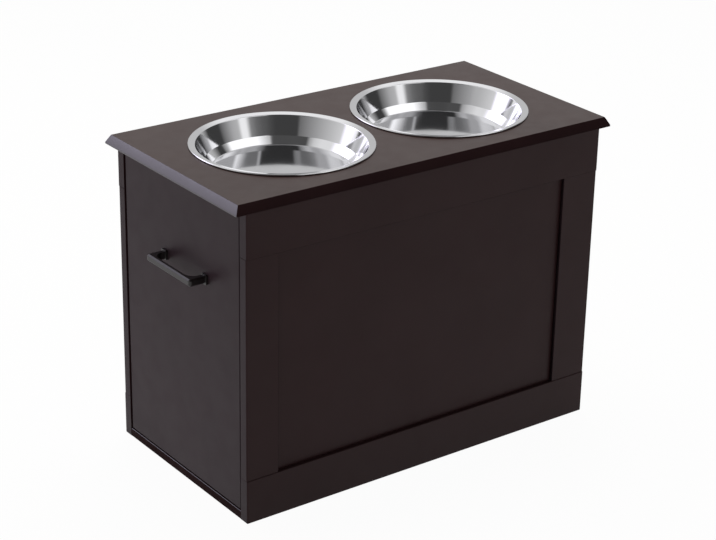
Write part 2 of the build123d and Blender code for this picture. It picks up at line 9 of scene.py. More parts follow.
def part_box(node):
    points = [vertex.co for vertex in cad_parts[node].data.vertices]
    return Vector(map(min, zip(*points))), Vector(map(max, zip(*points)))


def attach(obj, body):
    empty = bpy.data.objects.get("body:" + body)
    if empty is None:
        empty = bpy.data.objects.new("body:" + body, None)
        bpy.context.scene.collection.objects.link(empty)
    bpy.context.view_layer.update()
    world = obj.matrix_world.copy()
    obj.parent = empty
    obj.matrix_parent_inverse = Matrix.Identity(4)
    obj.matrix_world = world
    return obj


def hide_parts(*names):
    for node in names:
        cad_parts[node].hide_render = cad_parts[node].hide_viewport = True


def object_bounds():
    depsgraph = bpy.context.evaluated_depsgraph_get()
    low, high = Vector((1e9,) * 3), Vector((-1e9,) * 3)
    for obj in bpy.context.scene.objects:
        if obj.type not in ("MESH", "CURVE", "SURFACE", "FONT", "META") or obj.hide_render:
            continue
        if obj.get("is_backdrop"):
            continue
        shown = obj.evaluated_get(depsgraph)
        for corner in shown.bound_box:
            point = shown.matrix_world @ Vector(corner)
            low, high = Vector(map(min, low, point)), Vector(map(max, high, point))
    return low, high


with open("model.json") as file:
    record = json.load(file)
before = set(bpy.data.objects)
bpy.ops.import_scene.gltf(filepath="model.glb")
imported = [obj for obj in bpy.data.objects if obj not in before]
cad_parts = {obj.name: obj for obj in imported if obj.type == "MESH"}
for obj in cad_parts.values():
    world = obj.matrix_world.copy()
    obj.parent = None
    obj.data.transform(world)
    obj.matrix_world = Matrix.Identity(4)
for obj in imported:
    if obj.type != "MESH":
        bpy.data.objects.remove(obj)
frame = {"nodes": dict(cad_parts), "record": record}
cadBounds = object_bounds()
nodes = frame["nodes"]
bodyOf = {node: body for body, members in frame["record"]["behaviour"]["bodies"].items()
          for node in members}
slotOf = {part["node"]: part["material_slot"] for part in frame["record"]["subparts"]}
mm = 0.001
sides = ("front", "back")


# Node maths: a wrapped socket takes part in plain expressions
class Wire:
    def __init__(self, maker, socket):
        self.maker = maker
        self.socket = socket

    def maths(self, operation, first, second):
        return self.maker.node("ShaderNodeMath", {"operation": operation}, {0: first, 1: second})

    def __add__(self, other):
        return self.maths("ADD", self, other)

    def __radd__(self, other):
        return self.maths("ADD", other, self)

    def __sub__(self, other):
        return self.maths("SUBTRACT", self, other)

    def __rsub__(self, other):
        return self.maths("SUBTRACT", other, self)

    def __mul__(self, other):
        return self.maths("MULTIPLY", self, other)

    def __rmul__(self, other):
        return self.maths("MULTIPLY", other, self)

    def __truediv__(self, other):
        return self.maths("DIVIDE", self, other)


class Maker:
    def __init__(self, tree):
        self.tree = tree
        tree.nodes.clear()

    def node(self, kind, settings=None, inputs=None, output=0):
        made = self.tree.nodes.new(kind)
        for name, value in (settings or {}).items():
            if name == "stops":
                self.fillRamp(made.color_ramp, value)
            elif name == "choices":
                while len(made.index_switch_items) < value:
                    made.index_switch_items.new()
            else:
                setattr(made, name, value)
        for name, value in (inputs or {}).items():
            for single in value if isinstance(value, list) else [value]:
                if isinstance(single, Wire):
                    self.tree.links.new(single.socket, made.inputs[name])
                else:
                    made.inputs[name].default_value = single
        return Wire(self, made.outputs[output]) if made.outputs else made

    def fillRamp(self, ramp, stops):
        while len(ramp.elements) < len(stops):
            ramp.elements.new(1.0)
        for element, (place, shade) in zip(ramp.elements, stops):
            element.position = place
            element.color = shade

    def split(self, wire):
        made = self.node("ShaderNodeSeparateXYZ", {}, {0: wire})
        return [Wire(self, socket) for socket in made.socket.node.outputs]

    def place(self, size=(1.0, 1.0, 1.0), centre=(0.0, 0.0, 0.0)):
        spot = self.node("ShaderNodeTexCoord", output="Object")
        shifted = self.node("ShaderNodeVectorMath", {"operation": "SUBTRACT"}, {0: spot, 1: centre})
        return self.node("ShaderNodeMapping", {}, {"Vector": shifted, "Scale": size})

    def noise(self, spot, scale, detail=2.0, roughness=0.5):
        return self.node("ShaderNodeTexNoise", {},
                         {"Vector": spot, "Scale": scale, "Detail": detail, "Roughness": roughness})

    def range(self, wire, low, high, newLow, newHigh):
        return self.node("ShaderNodeMapRange", {},
                         {0: wire, 1: low, 2: high, 3: newLow, 4: newHigh})

    def blend(self, factor, first, second):
        return self.node("ShaderNodeMix", {"data_type": "RGBA"}, {0: factor, 6: first, 7: second},
                         output=2)

    def bump(self, height, distance, below=None):
        inputs = {"Height": height, "Distance": distance}
        if below is not None:
            inputs["Normal"] = below
        return self.node("ShaderNodeBump", {}, inputs)

    def pick(self, kind, choices):
        inputs = {"Index": self.node("GeometryNodeInputIndex")}
        inputs.update({place + 1: choice for place, choice in enumerate(choices)})
        return self.node("GeometryNodeIndexSwitch",
                         {"data_type": kind, "choices": len(choices)}, inputs)


def newMaterial(name, recipe, values):
    material = bpy.data.materials.new(name)
    material.use_nodes = True
    make = Maker(material.node_tree)
    make.node("ShaderNodeOutputMaterial", {}, {"Surface": recipe(make, values)})
    return material


# The parts of a noise's range that are stretched over two colours, and over two roughnesses
colourSpan = (0.35, 0.65)
roughSpan = (0.3, 0.7)

# Sprayed board: an even dark coat with faint mottling and a fine orange peel
paint = {
    "dark": (0.0300, 0.0122, 0.0130, 1.0), "light": (0.0345, 0.0150, 0.0158, 1.0),
    "mottleScale": 9.0, "glossScale": 45.0, "peelScale": 900.0, "peelHeight": 0.012 * mm,
    "waveScale": 60.0, "waveHeight": 0.03 * mm,
    "roughLow": 0.36, "roughHigh": 0.44, "specular": 0.12,
}
# Painted light from above: the top's face, a little lighter, and glossier
topPaint = dict(paint, dark=(0.0300, 0.0170, 0.0155, 1.0), light=(0.0345, 0.0200, 0.0180, 1.0),
                specular=0.40, roughLow=0.34, roughHigh=0.40)

# Painted shade: a dark, dull copy of the paint for the frames' inner edges round their recessed
# panels, and for the base board's end
edgePaint = dict(paint, dark=(0.020, 0.0090, 0.0090, 1.0), light=(0.024, 0.0110, 0.0110, 1.0),
                 roughLow=0.80, roughHigh=0.92, specular=0.08)
# Painted shade: the top's long edges, dark, and a little less dull
longEdgePaint = dict(paint, dark=(0.022, 0.0100, 0.0108, 1.0), light=(0.026, 0.0120, 0.0128, 1.0),
                     roughLow=0.60, roughHigh=0.70, specular=0.04)
# Painted cool light from the left: the drawer's front and the faces beside it, a shade cooler and
# lighter
drawerPaint = dict(paint, dark=(0.0310, 0.0185, 0.0225, 1.0), light=(0.0355, 0.0212, 0.0257, 1.0),
                   specular=0.10)
# Painted highlight: the ends of the top, lighter, bluer and glossier
endEdgePaint = dict(paint, dark=(0.044, 0.034, 0.050, 1.0), light=(0.050, 0.039, 0.056, 1.0),
                    specular=0.90, roughLow=0.28, roughHigh=0.34)


def paintedBoard(make, v):
    spot = make.place()
    mottle = make.noise(spot, v["mottleScale"], 3.0)
    colour = make.blend(make.range(mottle, *colourSpan, 0.0, 1.0), v["dark"], v["light"])
    wave = make.bump(make.noise(spot, v["waveScale"], 1.0), v["waveHeight"])
    relief = make.bump(make.noise(spot, v["peelScale"], 2.0), v["peelHeight"], wave)
    rough = make.range(make.noise(spot, v["glossScale"], 2.0), *roughSpan,
                       v["roughLow"], v["roughHigh"])
    return make.node("ShaderNodeBsdfPrincipled", {}, {
        "Base Color": colour, "Roughness": rough, "Normal": relief,
        "Specular IOR Level": v["specular"]})


# Polished stainless steel with faint turning lines round its own centre
steel = {
    "colour": (0.86, 0.86, 0.88, 1.0), "lineScale": 1600.0, "lineHeight": 0.0006 * mm,
    "smearScale": 26.0, "roughLow": 0.055, "roughHigh": 0.10,
}


def turnedSteel(make, v):
    spot = make.place(centre=v["centre"])
    x, y, z = make.split(spot)
    radius = make.node("ShaderNodeMath", {"operation": "SQRT"}, {0: x * x + y * y})
    lines = make.noise(make.node("ShaderNodeCombineXYZ", {}, {0: radius, 2: z}), v["lineScale"], 2.0)
    rough = make.range(make.noise(spot, v["smearScale"], 3.0), *roughSpan,
                       v["roughLow"], v["roughHigh"])
    return make.node("ShaderNodeBsdfPrincipled", {}, {
        "Base Color": v["colour"], "Metallic": 1.0, "Roughness": rough,
        "Normal": make.bump(lines, v["lineHeight"])})


# Coats, castings and bare metals of the fittings
blackCoat = {
    "dark": (0.0110, 0.0080, 0.0080, 1.0), "light": (0.0150, 0.0110, 0.0110, 1.0),
    "grainScale": 1500.0, "grainHeight": 0.015 * mm, "grainsPerPatch": 20,
    "roughLow": 0.30, "roughHigh": 0.40, "metallic": 0.0, "specular": 0.40,
}
runnerEnamel = dict(blackCoat, dark=(0.016, 0.016, 0.017, 1.0), light=(0.026, 0.026, 0.027, 1.0),
                    grainScale=500.0, grainHeight=0.02 * mm)
nylon = dict(blackCoat, specular=0.5, dark=(0.66, 0.64, 0.59, 1.0), light=(0.74, 0.72, 0.68, 1.0),
             grainScale=300.0, grainHeight=0.01 * mm, roughLow=0.35, roughHigh=0.5)
castZinc = dict(blackCoat, specular=0.5, dark=(0.30, 0.30, 0.31, 1.0),
                light=(0.46, 0.46, 0.47, 1.0), grainScale=900.0, grainHeight=0.03 * mm,
                roughLow=0.42, roughHigh=0.6, metallic=1.0)
platedSteel = dict(blackCoat, specular=0.5, dark=(0.52, 0.52, 0.50, 1.0),
                   light=(0.66, 0.65, 0.62, 1.0), grainScale=700.0, grainHeight=0.006 * mm,
                   roughLow=0.24, roughHigh=0.36, metallic=1.0)


def grainyCoat(make, v):
    spot = make.place()
    grain = make.noise(spot, v["grainScale"], 3.0)
    patch = make.noise(spot, v["grainScale"] / v["grainsPerPatch"], 2.0)
    colour = make.blend(make.range(patch, *colourSpan, 0.0, 1.0), v["dark"], v["light"])
    rough = make.range(grain, *roughSpan, v["roughLow"], v["roughHigh"])
    return make.node("ShaderNodeBsdfPrincipled", {}, {
        "Base Color": colour, "Metallic": v["metallic"], "Roughness": rough,
        "Specular IOR Level": v["specular"], "Normal": make.bump(grain, v["grainHeight"])})


# Beech pins, with fine dark flecks along their length
beech = {
    "dark": (0.36, 0.22, 0.12, 1.0), "light": (0.56, 0.40, 0.25, 1.0),
    "stretch": (1.0, 1.0, 0.08), "grainScale": 900.0, "grainHeight": 0.03 * mm, "rough": 0.7,
}


def beechWood(make, v):
    grain = make.noise(make.place(size=v["stretch"]), v["grainScale"], 4.0)
    colour = make.blend(make.range(grain, *colourSpan, 0.0, 1.0), v["dark"], v["light"])
    return make.node("ShaderNodeBsdfPrincipled", {}, {
        "Base Color": colour, "Roughness": v["rough"],
        "Normal": make.bump(grain, v["grainHeight"])})


finishes = {
    "brown_board": newMaterial("paintedBoard", paintedBoard, paint),
    "black_metal": newMaterial("blackCoat", grainyCoat, blackCoat),
    "runner_enamel": newMaterial("runnerEnamel", grainyCoat, runnerEnamel),
    "nylon": newMaterial("nylon", grainyCoat, nylon),
    "cast_zinc": newMaterial("castZinc", grainyCoat, castZinc),
    "plated_steel": newMaterial("platedSteel", grainyCoat, platedSteel),
    "beech": newMaterial("beech", beechWood, beech),
}
# Copies of the paint that hold painted shade, painted cool light, painted highlight and, on the top,
# painted light from above
shadedEdgeFinish = newMaterial("edgePaint", paintedBoard, edgePaint)
coolLightFinish = newMaterial("drawerPaint", paintedBoard, drawerPaint)
topFinishes = [newMaterial("topPaint", paintedBoard, topPaint),
               newMaterial("longEdgePaint", paintedBoard, longEdgePaint),
               newMaterial("endEdgePaint", paintedBoard, endEdgePaint)]
print("finishes made")

replaced = set()


def addPiece(name, mesh, nodeName, materials):
    for material in materials:
        mesh.materials.append(material)
    piece = bpy.data.objects.new(name, mesh)
    bpy.context.scene.collection.objects.link(piece)
    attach(piece, bodyOf[nodeName])
    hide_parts(nodeName)
    replaced.add(nodeName)
    return piece


# Even normals, so that the broad faces stay flat beside their rounded edges
def weighNormals(piece, sharp=50.0):
    mesh = piece.data
    mesh.shade_smooth()
    mesh.set_sharp_from_angle(angle=math.radians(sharp))
    weigh = piece.modifiers.new("weigh", "WEIGHTED_NORMAL")
    weigh.weight = 100
    weigh.keep_sharp = True
    evaluated = piece.evaluated_get(bpy.context.evaluated_depsgraph_get())
    piece.data = bpy.data.meshes.new_from_object(evaluated)
    piece.modifiers.clear()


# Geometry Nodes: a turned skin, a tree that sets a form on given points, and its plain mesh
hubRadius = 1.0 * mm  # of the small ring that a profile is swept along
weldGap = 0.002 * mm
mergeGap = 0.001 * mm  # for the loose triangles of a CAD node


def turnedSkin(make, corners, rounds, arcSteps, turns):
    places = [make.node("ShaderNodeCombineXYZ", {}, {0: radius - hubRadius, 1: depth})
              for radius, depth in corners]
    line = make.node("GeometryNodeMeshLine", {}, {"Count": len(corners)})
    line = make.node("GeometryNodeSetPosition", {}, {
        "Geometry": line, "Position": make.pick("VECTOR", places)})
    path = make.node("GeometryNodeMeshToCurve", {}, {"Mesh": line})
    path = make.node("GeometryNodeFilletCurve", {"mode": "POLY"}, {
        "Curve": path, "Count": arcSteps, "Radius": make.pick("FLOAT", rounds)})
    hub = make.node("GeometryNodeCurvePrimitiveCircle", {}, {
        "Resolution": turns, "Radius": hubRadius})
    skin = make.node("GeometryNodeCurveToMesh", {}, {"Curve": hub, "Profile Curve": path})
    return make.node("GeometryNodeMergeByDistance", {}, {"Geometry": skin, "Distance": weldGap})


def formTree(name, recipe, sizes):
    tree = bpy.data.node_groups.new(name, "GeometryNodeTree")
    make = Maker(tree)
    tree.interface.new_socket("Geometry", in_out="INPUT", socket_type="NodeSocketGeometry")
    for label, size in sizes.items():
        kind = "NodeSocketInt" if isinstance(size, int) else "NodeSocketFloat"
        tree.interface.new_socket(label, in_out="INPUT", socket_type=kind)
    tree.interface.new_socket("Finish", in_out="INPUT", socket_type="NodeSocketMaterial")
    tree.interface.new_socket("Geometry", in_out="OUTPUT", socket_type="NodeSocketGeometry")
    source = make.node("NodeGroupInput").socket.node
    given = {socket.name: Wire(make, socket) for socket in source.outputs if socket.name}
    pointing = make.node("GeometryNodeInputNamedAttribute", {"data_type": "FLOAT_VECTOR"},
                         {"Name": "pointing"})
    turn = make.node("FunctionNodeAlignRotationToVector", {"axis": "Z"}, {"Vector": pointing})
    copies = make.node("GeometryNodeInstanceOnPoints", {}, {
        "Points": given["Geometry"], "Instance": recipe(make, given), "Rotation": turn})
    real = make.node("GeometryNodeRealizeInstances", {}, {"Geometry": copies})
    dressed = make.node("GeometryNodeSetMaterial", {}, {
        "Geometry": real, "Material": given["Finish"]})
    make.node("NodeGroupOutput", {}, {"Geometry": dressed})
    return tree


# One form for each spot, a place and the way that its axis points
def grownMesh(name, tree, sizes, finish, spots):
    seeds = bpy.data.meshes.new(name + "Spots")
    seeds.from_pydata([place for place, pointing in spots], [], [])
    ways = seeds.attributes.new("pointing", "FLOAT_VECTOR", "POINT")
    for item, (place, pointing) in zip(ways.data, spots):
        item.vector = pointing
    holder = bpy.data.objects.new(name + "Spots", seeds)
    bpy.context.scene.collection.objects.link(holder)
    grow = holder.modifiers.new("grow", "NODES")
    grow.node_group = tree
    for item in tree.interface.items_tree:
        if item.in_out == "INPUT" and item.name in sizes:
            grow[item.identifier] = sizes[item.name]
        if item.in_out == "INPUT" and item.name == "Finish":
            grow[item.identifier] = finish
    evaluated = holder.evaluated_get(bpy.context.evaluated_depsgraph_get())
    mesh = bpy.data.meshes.new_from_object(evaluated)
    mesh.name = name
    bpy.data.objects.remove(holder)
    return mesh


# Boards: the CAD shapes with their outer edges eased
board = {"ease": 0.45 * mm, "steps": 2, "flat": math.radians(1.0), "sharp": math.radians(30.0),
         "slack": 0.01 * mm}
easedBoards = {"drawer_front": 0.5 * mm, "base_board": 0.5 * mm, "end_panel": 0.5 * mm,
               "drawer_rear": 0.4 * mm, "drawer_bottom": 0.3 * mm}
for side in sides:
    for name in ("top_rail", "bottom_rail", "drawer_end_stile", "far_end_stile"):
        easedBoards[f"{side}_{name}"] = board["ease"]
    easedBoards[f"{side}_side_panel"] = 0.3 * mm
    easedBoards[f"{side}_drawer_side"] = 0.4 * mm


def mergedCopy(nodeName):
    form = bmesh.new()
    form.from_mesh(nodes[nodeName].data)
    bmesh.ops.remove_doubles(form, verts=form.verts, dist=mergeGap)
    bmesh.ops.dissolve_limit(form, angle_limit=board["flat"], verts=form.verts, edges=form.edges)
    return form


def shapedMesh(form, name):
    mesh = bpy.data.meshes.new(name)
    form.to_mesh(mesh)
    form.free()
    return mesh


# An edge of the board itself, and not of a hole in it, lies in two faces of its box
def boxEdges(form, low, high):
    found = []
    for edge in form.edges:
        if len(edge.link_faces) != 2 or edge.calc_face_angle(0) < board["sharp"]:
            continue
        planes = 0
        for axis in range(3):
            ends = [vert.co[axis] for vert in edge.verts]
            if any(all(abs(end - wall) < board["slack"] for end in ends)
                   for wall in (low[axis], high[axis])):
                planes += 1
        if planes >= 2:
            found.append(edge)
    return found


def ease(form, edges, width, steps):
    bmesh.ops.bevel(form, geom=edges, offset=width, segments=steps, profile=0.5,
                    affect="EDGES", clamp_overlap=True)


# A frame piece keeps the edges of its joints sharp. Its faces that look the drawer's way take the
# painted cool light, and the others that look at its panel, but not a bottom rail's, the dull painted
# shade
innerEdges = {"top_rail": (0, 0, -1), "drawer_end_stile": (1, 0, 0), "far_end_stile": (-1, 0, 0)}
jointEnds = {"bottom_rail": (1,), "top_rail": (0,), "drawer_end_stile": (0, 1),
             "far_end_stile": (0, 1)}
# Slots for the painted shade, the painted cool light and the painted highlight
shadedEdgeSlot, coolLightSlot, paintedHighlightSlot = 1, 2, 3
# How far a face's normal has to point along a direction for it to count as looking that way
looks = {"straight": 0.9, "inward": 0.3, "sloped": 0.2, "sideways": 0.5}
for nodeName, width in easedBoards.items():
    kind = nodeName.split("_", 1)[1]
    form = mergedCopy(nodeName)
    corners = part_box(nodeName)
    joints = [corners[end].z for end in jointEnds.get(kind, ())]
    outer = [edge for edge in boxEdges(form, *corners)
             if not any(all(abs(vert.co.z - joint) < board["slack"] for vert in edge.verts)
                        for joint in joints)]
    ease(form, outer, width, board["steps"])
    # The drawer's front takes the painted cool light all over
    piece = addPiece(nodeName + "_board", shapedMesh(form, nodeName + "Eased"), nodeName,
                     [coolLightFinish if nodeName == "drawer_front" else finishes["brown_board"],
                      shadedEdgeFinish, coolLightFinish, topFinishes[2]])
    weighNormals(piece)
    if kind in jointEnds:
        inward = Vector(innerEdges.get(kind, (0, 0, 0)))
        for face in piece.data.polygons:
            if face.normal.x < -looks["straight"]:
                face.material_index = coolLightSlot
            elif face.normal.dot(inward) > looks["inward"]:
                face.material_index = shadedEdgeSlot
    # The base board's end takes the painted shade, and its sloped arris the painted highlight
    if nodeName == "base_board":
        for face in piece.data.polygons:
            if face.normal.x < -looks["straight"]:
                face.material_index = shadedEdgeSlot
            elif face.normal.x < -looks["sloped"] and face.normal.z > looks["sloped"]:
                face.material_index = paintedHighlightSlot
print("boards eased:", len(easedBoards))


# Tabletop: a wide bevel all round, under a crisp arris
top = {"arris": 0.4 * mm, "steps": 2, "longEdge": 100 * mm, "sharp": 30.0}
form = mergedCopy("tabletop")
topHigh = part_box("tabletop")[1].z
arrises = [edge for edge in form.edges
           if len(edge.link_faces) == 2 and edge.calc_face_angle(0) > board["sharp"]
           and edge.calc_length() > top["longEdge"]
           and all(vert.co.z > topHigh - board["slack"] for vert in edge.verts)]
ease(form, arrises, top["arris"], top["steps"])
tabletop = addPiece("tabletop_board", shapedMesh(form, "tabletopEased"), "tabletop", topFinishes)
weighNormals(tabletop, top["sharp"])
# The top's long edges take the painted shade, and its ends the painted highlight
shadedLongSlot, endHighlightSlot = 1, 2
for face in tabletop.data.polygons:
    if face.normal.z < looks["straight"] and abs(face.normal.y) > looks["sideways"]:
        face.material_index = shadedLongSlot
    if face.normal.z < looks["straight"] and abs(face.normal.x) > looks["sideways"]:
        face.material_index = endHighlightSlot
print("tabletop eased")


# Bowls: one profile, in radius and depth below the rim's face, turned and given a thickness
bowl = {
    "Rim radius": 121.3 * mm, "Rim fall": 2.3 * mm, "Mouth radius": 112.0 * mm, "Depth": 38.0 * mm,
    "Bend radius": 101.1 * mm, "Bend depth": 27.7 * mm, "Floor radius": 93.0 * mm,
    "Mouth round": 1.5 * mm, "Bend round": 2.0 * mm, "Floor round": 2.0 * mm,
    "Bead": 1.5 * mm, "Sheet": 0.8 * mm, "Arc steps": 12, "Turns": 256,
}
bowlSharp = 60.0  # degrees, past which an edge stays crisp


def bowlRecipe(make, given):
    rim, mouth, bead, depth = (given[name] for name in ("Rim radius", "Mouth radius", "Bead", "Depth"))
    corners = [(make.node("ShaderNodeValue"), depth), (given["Floor radius"], depth),
               (given["Bend radius"], given["Bend depth"]), (mouth, given["Rim fall"]), (rim, 0.0),
               (rim, bead * 2.0), (rim - bead, bead * 2.0)]
    rounds = [0.0, given["Floor round"], given["Bend round"], given["Mouth round"], bead, bead, 0.0]
    inside = turnedSkin(make, corners, rounds, given["Arc steps"], given["Turns"])
    back = make.node("GeometryNodeFlipFaces", {}, {"Mesh": inside})
    shell = make.node("GeometryNodeExtrudeMesh", {}, {
        "Mesh": back, "Offset Scale": given["Sheet"], "Individual": False})
    both = make.node("GeometryNodeJoinGeometry", {}, {"Geometry": [inside, shell]})
    return make.node("GeometryNodeMergeByDistance", {}, {"Geometry": both, "Distance": weldGap})


bowlTree = formTree("turnedBowl", bowlRecipe, bowl)
for nodeName in ("left_bowl", "right_bowl"):
    low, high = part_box(nodeName)
    centre = Vector(((low.x + high.x) / 2, (low.y + high.y) / 2, high.z))
    finish = newMaterial(nodeName + "Steel", turnedSteel, dict(steel, centre=tuple(centre)))
    mesh = grownMesh(nodeName + "Turned", bowlTree, bowl, finish, [(centre, (0, 0, 1))])
    weighNormals(addPiece(nodeName + "_shell", mesh, nodeName, []), bowlSharp)
print("bowls turned")


# Handle: the cast bow with soft edges
bow = {"ease": 0.5 * mm, "steps": 3, "foot": 0.05 * mm}
form = mergedCopy("drawer_handle")
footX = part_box("drawer_handle")[1].x
soft = [edge for edge in form.edges
        if len(edge.link_faces) == 2 and edge.calc_face_angle(0) > board["sharp"]
        and not all(vert.co.x > footX - bow["foot"] for vert in edge.verts)]
ease(form, soft, bow["ease"], bow["steps"])
weighNormals(addPiece("drawer_handle_bow", shapedMesh(form, "bowEased"), "drawer_handle",
                      [finishes["black_metal"]]))
print("handle eased")


# Screws: turned heads and shanks with a cross recess, one form for each kind
runnerScrew = {"Head radius": 3.4 * mm, "Head height": 1.6 * mm, "Crown radius": 2.4 * mm,
               "Sink": 0.0, "Shank radius": 1.58 * mm, "Length": 9.2 * mm, "Cross length": 3.4 * mm,
               "Cross width": 0.8 * mm, "Cross depth": 1.1 * mm, "Turns": 32}
handleScrew = dict(runnerScrew, **{"Shank radius": 1.95 * mm, "Length": 24.5 * mm})
boxScrew = dict(runnerScrew, **{"Head radius": 3.95 * mm, "Head height": 0.0, "Crown radius": 3.9 * mm,
                                "Sink": 1.5 * mm, "Shank radius": 2.45 * mm, "Length": 40.0 * mm,
                                "Cross length": 4.2 * mm, "Cross width": 0.9 * mm,
                                "Cross depth": 1.8 * mm})
screwHead = {"brimShare": 0.45, "round": 0.3 * mm, "arcSteps": 3, "sharp": 35.0}


# The form's origin is the head's seat, and its axis points out of the board
def screwRecipe(make, given):
    head, high, crown = (given[name] for name in ("Head radius", "Head height", "Crown radius"))
    shank, tip = given["Shank radius"], given["Length"]
    middle = make.node("ShaderNodeValue")
    corners = [(middle, 0.0 - high), (crown, 0.0 - high), (head, 0.0 - high * screwHead["brimShare"]),
               (head, 0.0), (shank, given["Sink"]), (shank, tip - shank), (middle, tip)]
    rounds = [0.0, screwHead["round"], screwHead["round"], 0.0, 0.0, 0.0, 0.0]
    body = turnedSkin(make, corners, rounds, screwHead["arcSteps"], given["Turns"])
    deep = given["Cross depth"] * 2.0
    bars = []
    for long, wide in ((given["Cross length"], given["Cross width"]),
                       (given["Cross width"], given["Cross length"])):
        size = make.node("ShaderNodeCombineXYZ", {}, {0: long, 1: wide, 2: deep})
        bar = make.node("GeometryNodeMeshCube", {}, {"Size": size})
        lift = make.node("ShaderNodeCombineXYZ", {}, {2: high})
        bars.append(make.node("GeometryNodeTransform", {}, {"Geometry": bar, "Translation": lift}))
    return make.node("GeometryNodeMeshBoolean", {"operation": "DIFFERENCE", "solver": "EXACT"},
                     {"Mesh 1": body, "Mesh 2": bars})


screwTree = formTree("crossScrew", screwRecipe, runnerScrew)


# A group's CAD solids, each as the box of its own loose part
def looseBoxes(nodeName):
    form = bmesh.new()
    form.from_mesh(nodes[nodeName].data)
    bmesh.ops.remove_doubles(form, verts=form.verts, dist=mergeGap)
    waiting = set(form.verts)
    boxes = []
    while waiting:
        reached = [waiting.pop()]
        for vert in reached:
            for edge in vert.link_edges:
                other = edge.other_vert(vert)
                if other in waiting:
                    waiting.remove(other)
                    reached.append(other)
        places = [vert.co.copy() for vert in reached]
        boxes.append([Vector([pick(place[axis] for place in places) for axis in range(3)])
                      for pick in (min, max)])
    form.free()
    return sorted(boxes, key=lambda box: tuple(box[0]))


# Where each screw's head sits, and which way it looks
def screwSpots(nodeName, axis, outward, headHeight):
    spots = []
    for low, high in looseBoxes(nodeName):
        middle = (low + high) / 2
        sign = outward(middle)
        pointing = Vector((0.0, 0.0, 0.0))
        pointing[axis] = sign
        seat = middle.copy()
        seat[axis] = (high[axis] if sign > 0 else low[axis]) - sign * headHeight
        spots.append((seat, pointing))
    return spots


screwKinds = {
    "handle_screws": (handleScrew, 0, lambda spot: 1),
    "cabinet_runner_screws": (runnerScrew, 1, lambda spot: -1 if spot.y > 0 else 1),
    "drawer_runner_screws": (runnerScrew, 2, lambda spot: -1),
    "drawer_rear_screws": (boxScrew, 1, lambda spot: 1 if spot.y > 0 else -1),
}
for nodeName, (sizes, axis, outward) in screwKinds.items():
    spots = screwSpots(nodeName, axis, outward, sizes["Head height"])
    mesh = grownMesh(nodeName + "Grown", screwTree, sizes, finishes["plated_steel"], spots)
    weighNormals(addPiece(nodeName + "_heads", mesh, nodeName, []), screwHead["sharp"])
print("screws grown:", len(screwKinds), "kinds")


# Everything else keeps its CAD shape
for nodeName, node in nodes.items():
    if nodeName in replaced:
        continue
    for materialSlot in node.material_slots:
        materialSlot.material = finishes[slotOf[nodeName]]
print("CAD nodes dressed:", len(nodes) - len(replaced))


# Floor: a wide pale sheet that stays white and keeps a faint shadow
studio = {
    "floorHalf": 12.0, "floorColour": (0.66, 0.66, 0.66, 1.0), "glow": 0.965,
    "floorDrop": 0.2 * mm, "ambient": 0.22, "white": (1.0, 1.0, 1.0, 1.0),
}


def seesBackdrop(make):
    path = make.node("ShaderNodeLightPath").socket.node.outputs
    isCamera, isGlossy, isThrough = (
        Wire(make, path[name]) for name in ("Is Camera Ray", "Is Glossy Ray", "Is Transmission Ray"))
    return isCamera, isGlossy, isThrough


def whiteFloor(make, v):
    plain = make.node("ShaderNodeBsdfDiffuse", {}, {"Color": v["floorColour"]})
    glow = make.node("ShaderNodeEmission", {}, {"Color": v["white"], "Strength": 1.0})
    isCamera, isGlossy, isThrough = seesBackdrop(make)
    shown = (isCamera + isGlossy + isThrough) * v["glow"]
    return make.node("ShaderNodeMixShader", {}, {0: shown, 1: plain, 2: glow})


floorForm = bmesh.new()
bmesh.ops.create_grid(floorForm, x_segments=1, y_segments=1, size=studio["floorHalf"])
floorMesh = bpy.data.meshes.new("floor")
floorForm.to_mesh(floorMesh)
floorForm.free()
floorMesh.materials.append(newMaterial("whiteFloor", whiteFloor, studio))
floor = bpy.data.objects.new("floor", floorMesh)
bpy.context.scene.collection.objects.link(floor)
floor.location.z = -studio["floorDrop"]
floor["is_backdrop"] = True


# What gloss sees round the object: a backdrop whose brightness changes with the compass
# bearing, and cards that stand in front of it, from and to a bearing, low to high in degrees
room = {
    "backdrop": [(-180, 0.55), (-165, 0.90), (-162, 0.12), (-156, 0.12), (-153, 0.90),
                 (-60, 0.16), (-57, 0.05), (-25, 0.05), (-6, 0.10),
                 (3, 0.15), (12, 0.25), (18, 0.95), (26, 0.95), (30, 0.50),
                 (40, 0.42), (48, 0.28), (57, 0.14), (61, 0.045), (83, 0.045), (95, 0.45),
                 (120, 0.55), (180, 0.55)],
    "cards": [
        {"from": 64, "to": 180, "low": 58, "high": 70, "level": 0.42, "soft": 4},
        {"from": 64, "to": 180, "low": 34, "high": 58, "level": 0.90, "soft": 4},
        {"from": 64, "to": 112, "low": 34, "high": 60, "level": 0.42, "soft": 4},
        {"from": -180, "to": -104, "low": 46, "high": 70, "level": 0.42, "soft": 4},
        {"from": -180, "to": -132, "low": 42, "high": 58, "level": 0.70, "soft": 4},
        {"from": 18, "to": 66, "low": 54, "high": 68, "level": 0.17, "soft": 4},
        {"from": -12, "to": 65, "low": 31, "high": 55, "level": 1.20, "soft": 3},
        {"from": -110, "to": -76, "low": 58, "high": 76, "level": 0.15, "soft": 4},
        {"from": -86, "to": -14, "low": 40, "high": 60, "level": 0.075, "soft": 3},
        {"from": -62, "to": 16, "low": 60, "high": 76, "level": 0.032, "soft": 3},
        {"from": -145, "to": -92, "low": 27, "high": 49, "level": 0.80, "soft": 4},
        {"from": -180, "to": 180, "low": 73, "high": 95, "level": 0.03, "soft": 4},
        {"from": -168, "to": -132, "low": 12, "high": 34, "level": 2.9, "soft": 6,
         "tint": (0.92, 0.88, 1.06)},
    ],
}


